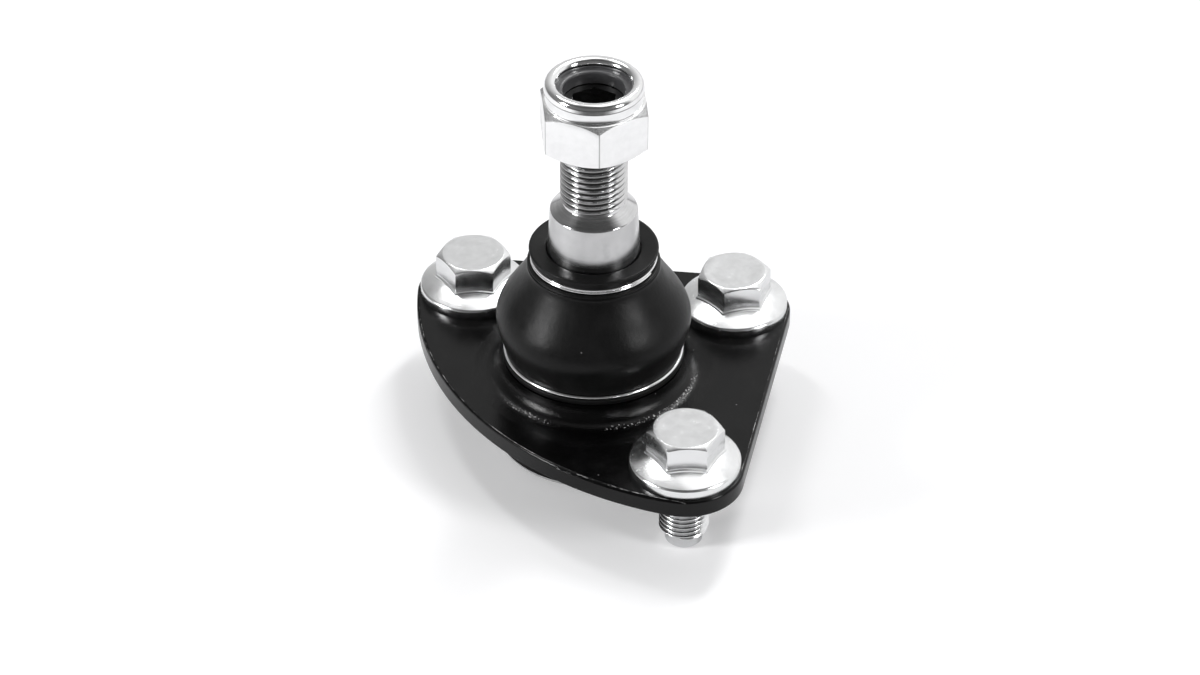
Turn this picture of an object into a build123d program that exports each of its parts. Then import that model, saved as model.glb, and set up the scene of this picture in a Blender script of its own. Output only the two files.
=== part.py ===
from build123d import *
import os
from math import asin, atan2, cos, radians, sin, sqrt, tan

# A bolt-on suspension ball joint. Millimetres, with Z up the stud.
# The origin is on the stud's axis, level with the underside of the plate.

# Clearances
running_gap = 0.05      # between turned pieces that move on each other
rubber_gap = 0.05       # between the rubber and the steel that it grips
rim_gap = 0.15          # between the rubber and the rim that it's stretched over
stop_gap = 0.1          # between a bearing end and the face that holds it

# Mounting plate
plate_thickness = 4.5
bolt_corner_x = 42.7        # axis to the corner bolt
bolt_side_x = -5.1          # the two side bolts, one each side of the XZ plane
bolt_side_y = 43.8
lobe_radius = 14.0          # plate round each bolt
long_side_reach = 34.0      # axis to the middle of the curved long side
plate_edge_round = 0.7
bolt_hole_gap = 0.75

# Housing
barrel_radius = 23.7
barrel_depth = 14.4         # below the plate's underside
barrel_edge_round = 1.2
boss_radius = 22.0
boss_height = 4.8           # above the plate's top
boss_fillet = 4.0
groove_radius = 19.3        # neck that the boot's bead grips
groove_height = 3.2
rim_radius = 20.2           # lip that keeps the bead in its groove
rim_height = 1.0
rim_chamfer = 0.3
mouth_radius = 13.8         # opening that the stud swings in
mouth_chamfer = 0.6
crimp_reach = 2.0           # rolled edge that holds the end cap
crimp_thickness = 1.0

# Ball and stud
ball_radius = 15.0
ball_height = 3.5           # ball centre above the plate's underside
ball_flat_radius = 5.0
neck_radius = 8.0
neck_length = 22.0          # ball centre to the foot of the flare
flare_height = 7.5
seal_radius = 11.22         # cylinder that the boot's collar seals on
seal_height = 4.5
taper_length = 14.0
taper_ratio = 8.8           # length for each millimetre lost in diameter
shoulder_height = 2.0       # cone from the taper up to the thread
thread_radius = 8.0         # M16
thread_length = 28.0
thread_chamfer = 0.9
relief_radius = 7.3
relief_width = 0.6
socket_flats = 10.0
socket_depth = 8.0
socket_tip_depth = 1.6      # cone left by the drill below the hexagon
socket_turn = 24.1          # degrees

# Bearing seat and end cap
seat_wall = 2.5
seat_top_height = 7.5       # above the ball centre
seat_port_radius = 7.0
seat_slots = 6
seat_slot_width = 1.5
seat_slot_depth = 9.5
cap_thickness = 1.7
cap_dish_radius = 9.5
cap_dish_depth = 0.7

# Rubber boot and its rings
bead_radius = 21.8
bead_chamfer = 0.3
bell_foot_radius = 21.3     # just above the lower ring
boot_wall = 2.0
belly_radius = 23.5
fold_radius = 15.9          # bell's top, where it folds in below the upper ring
fold_drop = 1.0             # below the ring's groove
fold_depth = 0.25
roll_bulge = 0.4            # rubber that the ring squeezes out over the fold
collar_radius = 15.5        # at its rim
collar_flare = 0.35         # how far the rim stands out beyond the collar's foot
collar_rise = 3.05          # rim above the stud's seal cylinder
collar_dish = 0.3           # how far the collar's top falls towards the stud
rim_round = 0.35
lip_height = 1.6            # rim down to the support ring
lip_round = 0.3
hook_height = 0.8           # catch below the support ring
lower_wire_radius = 0.5
lower_ring_radius = 21.3
lower_ring_height = 2.0     # above the boss
upper_wire_radius = 0.33
upper_wire_gap = 0.05       # between one turn and the next
upper_wire_turns = 1.6
upper_wire_start = -62.0    # degrees, where the lower end lies
upper_ring_radius = 14.85
upper_ring_drop = 2.85      # middle of the ring below the collar's rim
support_wall = 2.1
support_height = 4.3

# Lock nut
nut_flats = 24.0
nut_hex_height = 11.5
nut_turn = 59.4             # degrees
nut_grip = 10.9             # length of stud that the nut has taken up
nut_corner_chamfer = 30.0   # degrees
nut_chamfer_radius = 11.8
nut_thread_height = 11.1
nut_collar_radius = 11.66
nut_collar_sink = 1.0       # how far the collar runs down into the hexagon
nut_collar_waist = 0.25     # how far the collar draws in below its rolled edge
nut_foot_step = 0.14        # step in the collar just above the hexagon
nut_foot_height = 0.42
nut_lip_radius = 1.46       # rolled edge over the insert
nut_lip_height = 15.1
insert_radius = 10.0
insert_bore = 7.2
insert_height = 3.1

# Flange bolts
bolt_radius = 6.0           # M12
bolt_flats = 16.0
bolt_head_height = 11.1
bolt_flange_radius = 13.2
bolt_flange_edge = 2.5
bolt_flange_slope = 24.0    # degrees
bolt_reach = 17.4           # tip below the plate's underside
bolt_point_radius = 4.5     # plain point that finds the hole
bolt_point_length = 3.0
bolt_point_chamfer = 0.8
bolt_head_chamfer = 30.0    # degrees
bolt_top_radius = 7.6
bolt_foot_flats = 16.8      # raised pad at the hexagon's foot
bolt_foot_lift = 0.4

# Heights that follow from the sizes above
boss_z = plate_thickness + boss_height
mouth_z = boss_z + groove_height + rim_height
flare_z = ball_height + neck_length
seal_z = flare_z + flare_height
taper_z = seal_z + seal_height
taper_end_z = taper_z + taper_length
taper_end_radius = seal_radius - taper_length / (2 * taper_ratio)
thread_z = taper_end_z + shoulder_height
stud_end_z = thread_z + thread_length
collar_z = taper_z + collar_rise
nut_z = stud_end_z - nut_grip
cap_flange_z = crimp_thickness - barrel_depth
seat_foot_z = cap_flange_z + cap_thickness
seat_top_z = ball_height + seat_top_height
seat_bore = ball_radius + running_gap
seat_radius = seat_bore + seat_wall
cavity_radius = seat_radius + running_gap
boot_foot_z = boss_z + rubber_gap
lower_ring_z = boss_z + lower_ring_height
upper_ring_z = collar_z - upper_ring_drop
upper_wire_pitch = 2 * upper_wire_radius + upper_wire_gap
upper_wire_rise = upper_wire_turns * upper_wire_pitch

standing = (Align.CENTER, Align.CENTER, Align.MIN)

bolt_places = {
    "bolt_corner": (bolt_corner_x, 0, 36.1),
    "bolt_left": (bolt_side_x, bolt_side_y, 26.6),
    "bolt_front": (bolt_side_x, -bolt_side_y, 26.1),
}


def save(shape, name):
    shape.label = name
    export_step(shape, f"parts/{name}.step")


def turned(profile):
    """Revolves a closed outline of lines and arcs, drawn in radius and height."""
    return revolve(Plane.XZ * make_face(profile), Axis.Z)


def hexagon(flats, turn):
    return Rot(0, 0, turn) * RegularPolygon(flats / 2, 6, major_radius=False, rotation=0)


def sphere_height(radius, at):
    """Height above a sphere's centre at the given distance from its axis."""
    return sqrt(radius**2 - at**2)


def corner_cone(corner_radius, start_radius, top_z, slope, depth):
    """Solid that trims a hexagon's corners: a cone that falls from a circle at its top."""
    reach = 1.1 * corner_radius
    drop = (reach - start_radius) * tan(radians(slope))
    outline = Polyline(
        (0, top_z),
        (start_radius, top_z),
        (reach, top_z - drop),
        (reach, top_z - depth),
        (0, top_z - depth),
        close=True,
    )
    return turned(outline)


def plate_outline():
    """Three lobes joined by two straight sides and one long curved side."""
    with BuildSketch() as outline:
        with Locations(*[(x, y) for x, y, turn in bolt_places.values()]):
            Circle(lobe_radius)
        make_hull()
    # the long side's circle touches both side lobes from outside
    inner_reach = long_side_reach - lobe_radius
    centre = (bolt_side_x**2 + bolt_side_y**2 - inner_reach**2) / (2 * (inner_reach + bolt_side_x))
    radius = centre + long_side_reach
    lean = atan2(bolt_side_y, centre - bolt_side_x)
    tip_x = centre - radius * cos(lean)
    tip_y = radius * sin(lean)
    with BuildSketch() as bulge:
        with BuildLine():
            ThreePointArc((tip_x, tip_y), (centre - radius, 0), (tip_x, -tip_y))
            Line((tip_x, -tip_y), (0, 0))
            Line((0, 0), (tip_x, tip_y))
        make_face()
    return outline.sketch + bulge.sketch


def housing_outside():
    """Barrel, boss, bead groove and rim in one turned blank."""
    foot_z = -barrel_depth
    plate_top = plate_thickness
    groove_top = boss_z + groove_height
    with BuildLine() as outline:
        Polyline(
            (0, foot_z),
            (barrel_radius - barrel_edge_round, foot_z),
        )
        RadiusArc(
            (barrel_radius - barrel_edge_round, foot_z),
            (barrel_radius, foot_z + barrel_edge_round),
            -barrel_edge_round,
        )
        Polyline(
            (barrel_radius, foot_z + barrel_edge_round),
            (barrel_radius, 0),
            (boss_radius + boss_fillet, 0),
            (boss_radius + boss_fillet, plate_top),
        )
        RadiusArc(
            (boss_radius + boss_fillet, plate_top),
            (boss_radius, plate_top + boss_fillet),
            boss_fillet,
        )
        Polyline(
            (boss_radius, plate_top + boss_fillet),
            (boss_radius, boss_z),
            (groove_radius, boss_z),
            (groove_radius, groove_top),
            (rim_radius, groove_top),
            (rim_radius, mouth_z - rim_chamfer),
            (rim_radius - rim_chamfer, mouth_z),
            (0, mouth_z),
            (0, foot_z),
        )
    return turned(outline.line)


def housing_cavity():
    """Bore for the seat and cap, domed over the ball, and open at the mouth."""
    roof_z = seat_top_z + stop_gap
    roof_radius = sphere_height(cavity_radius, roof_z - ball_height)
    foot_z = -barrel_depth
    dome_middle = asin((roof_z - ball_height) / cavity_radius) / 2
    with BuildLine() as outline:
        Polyline(
            (0, foot_z),
            (cavity_radius - crimp_reach, foot_z),
            (cavity_radius - crimp_reach, cap_flange_z),
            (cavity_radius, cap_flange_z),
            (cavity_radius, ball_height),
        )
        ThreePointArc(
            (cavity_radius, ball_height),
            (cavity_radius * cos(dome_middle), ball_height + cavity_radius * sin(dome_middle)),
            (roof_radius, roof_z),
        )
        Polyline(
            (roof_radius, roof_z),
            (mouth_radius, roof_z),
            (mouth_radius, mouth_z - mouth_chamfer),
            (mouth_radius + mouth_chamfer, mouth_z),
            (0, mouth_z),
            (0, foot_z),
        )
    return turned(outline.line)


def make_housing():
    """Forged plate and socket in one piece, drilled for the three bolts."""
    plate = extrude(plate_outline(), plate_thickness)
    plate = fillet(plate.edges().group_by(Axis.Z)[0], plate_edge_round / 2)
    plate = fillet(plate.edges().group_by(Axis.Z)[-1], plate_edge_round)
    body = plate + housing_outside() - housing_cavity()
    for x, y, turn in bolt_places.values():
        hole = Cylinder(bolt_radius + bolt_hole_gap, plate_thickness, align=standing)
        body -= Pos(x, y, 0) * hole
    save(body, "housing")


def make_end_cap():
    """Pressed disc with a dished middle that clears the ball."""
    top = seat_foot_z
    radius = cavity_radius - running_gap
    dish_foot = cap_dish_radius - cap_dish_depth
    outline = Polyline(
        (0, top - cap_dish_depth),
        (dish_foot, top - cap_dish_depth),
        (cap_dish_radius, top),
        (radius, top),
        (radius, cap_flange_z),
        (cap_dish_radius, cap_flange_z),
        (dish_foot, cap_flange_z - cap_dish_depth),
        (0, cap_flange_z - cap_dish_depth),
        close=True,
    )
    save(turned(outline), "end_cap")


def make_bearing_seat():
    """Moulded cup round the ball, slotted from its top so that the ball snaps in."""
    top_in = sphere_height(seat_bore, seat_top_height)
    top_out = sphere_height(seat_radius, seat_top_height)
    port_z = ball_height - sphere_height(seat_bore, seat_port_radius)
    outside_middle = asin(seat_top_height / seat_radius) / 2
    with BuildLine() as outline:
        Line((seat_port_radius, seat_foot_z), (seat_radius, seat_foot_z))
        Line((seat_radius, seat_foot_z), (seat_radius, ball_height))
        ThreePointArc(
            (seat_radius, ball_height),
            (seat_radius * cos(outside_middle), ball_height + seat_radius * sin(outside_middle)),
            (top_out, seat_top_z),
        )
        Line((top_out, seat_top_z), (top_in, seat_top_z))
        ThreePointArc((top_in, seat_top_z), (seat_bore, ball_height), (seat_port_radius, port_z))
        Line((seat_port_radius, port_z), (seat_port_radius, seat_foot_z))
    seat = turned(outline.line)
    slot = Pos(seat_radius, 0, seat_top_z) * Box(seat_radius, seat_slot_width, 2 * seat_slot_depth)
    for n in range(seat_slots):
        seat -= Rot(0, 0, n * 360 / seat_slots) * slot
    save(seat, "bearing_seat")


def make_ball_stud():
    """Ball, neck, flare, seal cylinder, taper, thread and the hexagon socket in its end."""
    flat_z = ball_height - sphere_height(ball_radius, ball_flat_radius)
    neck_foot_z = ball_height + sphere_height(ball_radius, neck_radius)
    flare_reach = seal_radius - neck_radius
    flare_radius = (flare_reach**2 + flare_height**2) / (2 * flare_reach)
    with BuildLine() as outline:
        Line((0, flat_z), (ball_flat_radius, flat_z))
        ThreePointArc((ball_flat_radius, flat_z), (ball_radius, ball_height), (neck_radius, neck_foot_z))
        Line((neck_radius, neck_foot_z), (neck_radius, flare_z))
        RadiusArc((neck_radius, flare_z), (seal_radius, seal_z), flare_radius)
        Polyline(
            (seal_radius, seal_z),
            (seal_radius, taper_z),
            (taper_end_radius, taper_end_z),
            (relief_radius, thread_z),
            (relief_radius, thread_z + relief_width),
            (thread_radius, thread_z + relief_width + thread_radius - relief_radius),
            (thread_radius, stud_end_z - thread_chamfer),
            (thread_radius - thread_chamfer, stud_end_z),
            (0, stud_end_z),
            (0, flat_z),
        )
    stud = turned(outline.line)
    socket = extrude(hexagon(socket_flats, socket_turn), socket_depth)
    tip = Pos(0, 0, -socket_tip_depth) * Cone(0, socket_flats / 2, socket_tip_depth, align=standing)
    save(stud - Pos(0, 0, stud_end_z - socket_depth) * (socket + tip), "ball_stud")


def boot_skin(inset, top_z):
    """Points of the boot's bell, from above its bead to below its fold."""
    foot_z = lower_ring_z + lower_wire_radius
    rise = top_z - foot_z
    shape = [
        (0.165, 0.85),
        (0.35, 1.0),
        (0.57, 0.79),
        (0.81, 0.29),
    ]
    span = belly_radius - fold_radius
    return [(fold_radius + share * span - inset, foot_z + part * rise) for part, share in shape]


def make_dust_boot():
    """Rubber bell with a bead in the housing's groove and a collar round the stud."""
    bead_in = groove_radius + rubber_gap
    bead_top = boss_z + groove_height - rubber_gap
    rim_in = rim_radius + rim_gap
    ring_low = lower_ring_z - lower_wire_radius - rubber_gap
    ring_high = lower_ring_z + lower_wire_radius + rubber_gap
    ring_in = lower_ring_radius - lower_wire_radius - rubber_gap
    waist_half = upper_wire_rise / 2 + upper_wire_radius + rubber_gap
    waist_in = upper_ring_radius - upper_wire_radius - rubber_gap
    waist_low = upper_ring_z - waist_half
    waist_high = upper_ring_z + waist_half
    waist_edge = fold_radius - fold_depth - roll_bulge
    fold_z = waist_low - fold_drop
    crease = (fold_radius - fold_depth, fold_z + fold_depth)
    roll = (fold_radius - fold_depth + roll_bulge / 2, (crease[1] + waist_low) / 2)
    lip_in = seal_radius + rubber_gap
    lip_top = collar_z - collar_dish
    lip_z = collar_z - lip_height
    support_out = seal_radius + running_gap + support_wall + rubber_gap
    pocket_low = lip_z - support_height - 2 * rubber_gap
    hook_in = support_out - support_wall / 2
    outside = boot_skin(0, fold_z)
    inside = boot_skin(boot_wall, fold_z)[::-1]
    with BuildLine() as outline:
        Polyline(
            (bead_in, boot_foot_z),
            (bead_radius - bead_chamfer, boot_foot_z),
            (bead_radius, boot_foot_z + bead_chamfer),
            (bead_radius, ring_low),
            (ring_in, ring_low),
            (ring_in, ring_high),
            (bell_foot_radius, ring_high),
        )
        Spline((bell_foot_radius, ring_high), *outside, (fold_radius, fold_z))
        Line((fold_radius, fold_z), crease)
        ThreePointArc(crease, roll, (waist_edge, waist_low))
        Polyline(
            (waist_edge, waist_low),
            (waist_in, waist_low),
            (waist_in, waist_high),
            (collar_radius - collar_flare, waist_high),
            (collar_radius, collar_z - rim_round),
        )
        RadiusArc(
            (collar_radius, collar_z - rim_round),
            (collar_radius - rim_round, collar_z),
            -rim_round,
        )
        Polyline(
            (collar_radius - rim_round, collar_z),
            (lip_in + lip_round, lip_top),
            (lip_in, lip_top - lip_round),
            (lip_in, lip_z),
            (support_out, lip_z),
            (support_out, pocket_low),
            (hook_in, pocket_low),
            (hook_in, pocket_low - hook_height),
            (support_out, pocket_low - 2 * hook_height),
        )
        Spline((support_out, pocket_low - 2 * hook_height), *inside[1:], (rim_in, mouth_z))
        Polyline(
            (rim_in, mouth_z),
            (rim_in, bead_top),
            (bead_in, bead_top),
            (bead_in, boot_foot_z),
        )
    save(turned(outline.line), "dust_boot")


def make_support_ring():
    """Stiff ring inside the boot's collar that turns on the stud."""
    inner = seal_radius + running_gap
    top = collar_z - lip_height - rubber_gap
    outline = Polyline(
        (inner, top - support_height),
        (inner + support_wall, top - support_height),
        (inner + support_wall, top),
        (inner, top),
        close=True,
    )
    save(turned(outline), "support_ring")


def make_lower_ring():
    ring = Torus(lower_ring_radius, lower_wire_radius)
    save(Pos(0, 0, lower_ring_z) * ring, "lower_ring")


def make_upper_ring():
    """Round wire wound on itself, which squeezes the collar on to the support ring."""
    route = Helix(upper_wire_pitch, upper_wire_rise, upper_ring_radius, lefthand=True)
    section = Plane(route @ 0, z_dir=route % 0) * Circle(upper_wire_radius)
    wire = Rot(0, 0, upper_wire_start) * sweep(section, route, is_frenet=True)
    save(Pos(0, 0, upper_ring_z - upper_wire_rise / 2) * wire, "upper_ring")


def make_lock_nut():
    """Hexagon with trimmed corners and a rolled collar that holds the insert."""
    corner = nut_flats / 2 / cos(radians(30))
    hex_body = extrude(hexagon(nut_flats, nut_turn), nut_hex_height)
    trim = corner_cone(corner, nut_chamfer_radius, nut_hex_height, nut_corner_chamfer, nut_hex_height)
    underside = Pos(0, 0, nut_hex_height) * Rot(180, 0, 0) * trim
    hex_body = hex_body & trim
    hex_body = hex_body & underside
    lip_middle = nut_collar_radius - nut_lip_radius
    insert_top = nut_thread_height + insert_height
    bore = thread_radius + running_gap
    pocket = insert_radius + running_gap
    foot_top = nut_hex_height + nut_foot_height
    waist_radius = nut_collar_radius - nut_collar_waist
    waist_z = nut_lip_height - sphere_height(nut_lip_radius, nut_lip_radius - nut_collar_waist)
    with BuildLine() as outline:
        Polyline(
            (lip_middle - nut_lip_radius, nut_lip_height),
            (lip_middle - nut_lip_radius, insert_top),
            (pocket, insert_top),
            (pocket, nut_hex_height - nut_collar_sink),
            (nut_collar_radius, nut_hex_height - nut_collar_sink),
            (nut_collar_radius, foot_top),
            (nut_collar_radius - nut_foot_step, foot_top),
            (waist_radius, waist_z),
        )
        ThreePointArc(
            (waist_radius, waist_z),
            (lip_middle, nut_lip_height + nut_lip_radius),
            (lip_middle - nut_lip_radius, nut_lip_height),
        )
    collar = turned(outline.line)
    hole = Cylinder(bore, nut_thread_height, align=standing)
    hole += Pos(0, 0, nut_thread_height) * Cylinder(pocket, insert_height, align=standing)
    mouth = Cone(bore + thread_chamfer, bore, thread_chamfer, align=standing)
    nut = hex_body - hole - mouth + collar
    save(Pos(0, 0, nut_z) * nut, "lock_nut")


def make_nylon_insert():
    foot = nut_z + nut_thread_height
    outline = Polyline(
        (insert_bore, foot),
        (insert_radius, foot),
        (insert_radius, foot + insert_height),
        (insert_bore, foot + insert_height),
        close=True,
    )
    save(turned(outline), "nylon_insert")


def make_bolt(name, x, y, turn):
    """Hexagon head on a coned flange, with a plain shank where the thread is."""
    corner = bolt_flats / 2 / cos(radians(30))
    flange_rise = bolt_flange_radius * tan(radians(bolt_flange_slope))
    shank_length = bolt_reach + plate_thickness
    outline = Polyline(
        (0, -shank_length),
        (bolt_point_radius - bolt_point_chamfer, -shank_length),
        (bolt_point_radius, bolt_point_chamfer - shank_length),
        (bolt_point_radius, bolt_point_length - shank_length),
        (bolt_radius, bolt_point_length + bolt_radius - bolt_point_radius - shank_length),
        (bolt_radius, 0),
        (bolt_flange_radius, 0),
        (bolt_flange_radius, bolt_flange_edge),
        (0, bolt_flange_edge + flange_rise),
        close=True,
    )
    head = extrude(hexagon(bolt_flats, turn), bolt_head_height)
    trim = corner_cone(corner, bolt_top_radius, bolt_head_height, bolt_head_chamfer, bolt_head_height)
    pad_edge = bolt_flange_edge + bolt_foot_lift
    pad_slope = Polyline(
        (0, 0),
        (bolt_flange_radius, 0),
        (bolt_flange_radius, pad_edge),
        (0, pad_edge + flange_rise),
        close=True,
    )
    pad = extrude(hexagon(bolt_foot_flats, turn), bolt_head_height) & turned(pad_slope)
    bolt = turned(outline) + (head & trim) + pad
    save(Pos(x, y, plate_thickness) * bolt, name)


os.makedirs("parts", exist_ok=True)
make_housing()
make_end_cap()
make_bearing_seat()
make_ball_stud()
make_dust_boot()
make_support_ring()
make_lower_ring()
make_upper_ring()
make_lock_nut()
make_nylon_insert()
for bolt_name, (bolt_x, bolt_y, bolt_turn) in bolt_places.items():
    make_bolt(bolt_name, bolt_x, bolt_y, bolt_turn)
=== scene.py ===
import math

import bmesh
import bpy
from mathutils import Matrix, Vector


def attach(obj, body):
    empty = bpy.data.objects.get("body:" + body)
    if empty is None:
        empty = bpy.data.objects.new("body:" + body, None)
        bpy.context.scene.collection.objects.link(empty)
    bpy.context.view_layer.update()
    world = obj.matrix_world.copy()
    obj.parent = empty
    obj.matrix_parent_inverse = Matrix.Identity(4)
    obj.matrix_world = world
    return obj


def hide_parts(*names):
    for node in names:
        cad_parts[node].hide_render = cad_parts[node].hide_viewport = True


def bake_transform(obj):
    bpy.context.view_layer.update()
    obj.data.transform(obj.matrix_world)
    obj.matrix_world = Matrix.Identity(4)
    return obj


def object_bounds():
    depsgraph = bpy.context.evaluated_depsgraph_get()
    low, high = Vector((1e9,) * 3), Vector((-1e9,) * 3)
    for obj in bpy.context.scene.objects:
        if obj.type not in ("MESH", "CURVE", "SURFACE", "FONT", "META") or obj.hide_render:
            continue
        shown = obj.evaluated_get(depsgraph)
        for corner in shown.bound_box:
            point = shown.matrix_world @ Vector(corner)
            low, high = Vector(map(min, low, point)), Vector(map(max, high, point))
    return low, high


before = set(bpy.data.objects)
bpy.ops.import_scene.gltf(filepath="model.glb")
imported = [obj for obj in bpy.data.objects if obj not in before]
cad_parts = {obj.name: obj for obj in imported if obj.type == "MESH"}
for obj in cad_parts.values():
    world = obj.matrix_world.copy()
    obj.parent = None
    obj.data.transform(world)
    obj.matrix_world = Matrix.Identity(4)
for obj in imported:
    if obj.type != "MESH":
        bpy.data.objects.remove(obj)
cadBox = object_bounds()
mm = 0.001
fullTurn = 2 * math.pi
print("frame loaded")

cameraSetup = {
    "place": (-0.47183, -0.65276, 0.60535), "right": (0.810376, -0.585907, 0.002446),
    "up": (0.345359, 0.481035, 0.805812), "lens": 124.34, "sensor": 36.0, "nearest": 0.05,
}


def addCamera(values):
    data = bpy.data.cameras.new("studioCamera")
    data.lens = values["lens"]
    data.sensor_width = values["sensor"]
    data.clip_start = values["nearest"]
    right = Vector(values["right"]).normalized()
    up = Vector(values["up"]).normalized()
    turn = Matrix((right, up, right.cross(up))).transposed().to_4x4()
    camera = bpy.data.objects.new("studioCamera", data)
    camera.matrix_world = Matrix.Translation(values["place"]) @ turn
    bpy.context.scene.collection.objects.link(camera)
    bpy.context.scene.camera = camera


addCamera(cameraSetup)

# bearings are measured round Z from +X, and the camera stands at about -126 degrees
lampSetup = {
    "leftPanel": {"bearing": 166, "height": 21, "distance": 0.95, "size": (0.22, 0.32), "power": 6.0},
    "rightPanel": {"bearing": -67, "height": 24, "distance": 0.95, "size": (0.2, 0.3), "power": 3.4},
    "backLeftStrip": {"bearing": 95, "height": 60, "distance": 1.1, "size": (0.12, 0.36), "power": 1.9},
    "backRightStrip": {"bearing": 24, "height": 55, "distance": 1.1, "size": (0.13, 0.6), "power": 4.6},
    "overhead": {"bearing": 4, "height": 72, "distance": 1.1, "size": (0.8, 0.8), "power": 1.4},
}
lampTarget = Vector((0, 0, 0.03))


def addLamp(name, values):
    data = bpy.data.lights.new(name, "AREA")
    data.shape = "RECTANGLE"
    data.size, data.size_y = values["size"]
    data.energy = values["power"]
    bearing = math.radians(values["bearing"])
    height = math.radians(values["height"])
    way = Vector((math.cos(bearing) * math.cos(height), math.sin(bearing) * math.cos(height), math.sin(height)))
    lamp = bpy.data.objects.new(name, data)
    lamp.location = way * values["distance"] + lampTarget
    lamp.rotation_euler = way.to_track_quat("Z", "Y").to_euler()
    bpy.context.scene.collection.objects.link(lamp)


for lampName, lampValues in lampSetup.items():
    addLamp(lampName, lampValues)


# node helpers take sockets or plain values; fillNode and addNode give back the node, the others a socket
def fillNode(tree, node, inputs):
    for name, value in inputs.items():
        if isinstance(value, bpy.types.NodeSocket):
            tree.links.new(value, node.inputs[name])
        else:
            node.inputs[name].default_value = value
    return node


def addNode(tree, kind, inputs=None, **settings):
    node = tree.nodes.new("ShaderNode" + kind)
    for name, value in settings.items():
        setattr(node, name, value)
    return fillNode(tree, node, inputs or {})


def calculate(tree, operation, *values):
    return addNode(tree, "Math", dict(enumerate(values)), operation=operation).outputs[0]


def measureAlong(tree, place, way):
    return addNode(tree, "VectorMath", {0: place, 1: way}, operation="DOT_PRODUCT").outputs["Value"]


def remap(tree, value, span, result=(0.0, 1.0)):
    return addNode(tree, "MapRange", {
        "Value": value, "From Min": span[0], "From Max": span[1], "To Min": result[0], "To Max": result[1],
    }).outputs["Result"]


def mixValue(tree, factor, first, second):
    return addNode(tree, "Mix", {"Factor": factor, "A": first, "B": second}, data_type="FLOAT").outputs[0]


def mixColor(tree, factor, first, second):
    return addNode(tree, "Mix", {"Factor": factor, "A": first, "B": second}, data_type="RGBA").outputs[2]


def addNoise(tree, place, size, detail, roughness=0.5):
    return addNode(tree, "TexNoise", {
        "Vector": place, "Scale": size, "Detail": detail, "Roughness": roughness}).outputs["Fac"]


# what bright metal mirrors: a light wall at the right, a darker one at the left, a ceiling and a dark front
worldSetup = {
    "backdrop": 1.0, "fill": 0.22, "rightWay": (0.966, -0.259, 0), "rightSpan": (-0.6, 0.7), "walls": (0.2, 0.95),
    "ceiling": 0.7, "ceilingSpan": (0.7, 0.86), "backWay": (0.588, 0.809, 0), "backSpan": (-0.25, 0.05),
    "front": (0.14, 0.08), "frontSpan": (0.5, 0.85),
}


def addWorld(values):
    world = bpy.data.worlds.new("studioWorld")
    world.use_nodes = True
    bpy.context.scene.world = world
    tree = world.node_tree
    tree.nodes.clear()
    way = addNode(tree, "TexCoord").outputs["Generated"]
    height = addNode(tree, "SeparateXYZ", {"Vector": way}).outputs["Z"]
    walls = remap(tree, measureAlong(tree, way, values["rightWay"]), values["rightSpan"], values["walls"])
    back = mixValue(tree, remap(tree, height, values["ceilingSpan"]), walls, values["ceiling"])
    front = remap(tree, height, values["frontSpan"], values["front"])
    room = mixValue(tree, remap(tree, measureAlong(tree, way, values["backWay"]), values["backSpan"]), front, back)
    rays = addNode(tree, "LightPath").outputs
    mirrored = mixValue(tree, rays["Is Glossy Ray"], values["fill"], room)
    shown = mixValue(tree, rays["Is Camera Ray"], mirrored, values["backdrop"])
    backdrop = addNode(tree, "Background", {"Color": (1, 1, 1, 1), "Strength": shown})
    addNode(tree, "OutputWorld", {"Surface": backdrop.outputs[0]})


addWorld(worldSetup)

floorSetup = {
    "reach": 4.0, "drop": 0.0001, "tone": (0.86, 0.86, 0.87, 1), "dark": (0.1, 0.1, 0.1, 1),
    "frontWay": (-0.588, -0.809, 0), "darkSpan": (0.2, 0.32), "liftSpan": (0.5, 1.6), "lift": (0.2, 0.9),
}


def makeFloorMaterial(values):
    # a painted reflection: for mirror rays the floor turns dark in front of the part, while the view sees it run on
    # white
    material = bpy.data.materials.new("paleFloor")
    material.use_nodes = True
    tree = material.node_tree
    tree.nodes.clear()
    rays = addNode(tree, "LightPath").outputs
    place = addNode(tree, "TexCoord").outputs["Object"]
    mirrorDarkZone = remap(tree, measureAlong(tree, place, values["frontWay"]), values["darkSpan"])
    mirrored = calculate(tree, "MULTIPLY", mirrorDarkZone, rays["Is Glossy Ray"])
    matte = addNode(tree, "BsdfDiffuse", {"Color": mixColor(tree, mirrored, values["tone"], values["dark"])})
    radius = addNode(tree, "VectorMath", {0: place}, operation="LENGTH").outputs["Value"]
    lift = calculate(tree, "MULTIPLY", rays["Is Camera Ray"], remap(tree, radius, values["liftSpan"], values["lift"]))
    glow = addNode(tree, "Emission", {"Color": (1, 1, 1, 1), "Strength": lift})
    both = addNode(tree, "AddShader", {0: matte.outputs[0], 1: glow.outputs[0]})
    addNode(tree, "OutputMaterial", {"Surface": both.outputs[0]})
    return material


def addFloor(values, height):
    bm = bmesh.new()
    bmesh.ops.create_grid(bm, x_segments=2, y_segments=2, size=values["reach"])
    bmesh.ops.translate(bm, verts=bm.verts, vec=(0, 0, height - values["drop"]))
    mesh = bpy.data.meshes.new("studioFloor")
    bm.to_mesh(mesh)
    bm.free()
    floor = bpy.data.objects.new("studioFloor", mesh)
    bpy.context.scene.collection.objects.link(floor)
    mesh.materials.append(makeFloorMaterial(values))


addFloor(floorSetup, cadBox[0][2])
bpy.context.scene.view_settings.view_transform = "Standard"
print("camera, lamps and floor ready")


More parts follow.
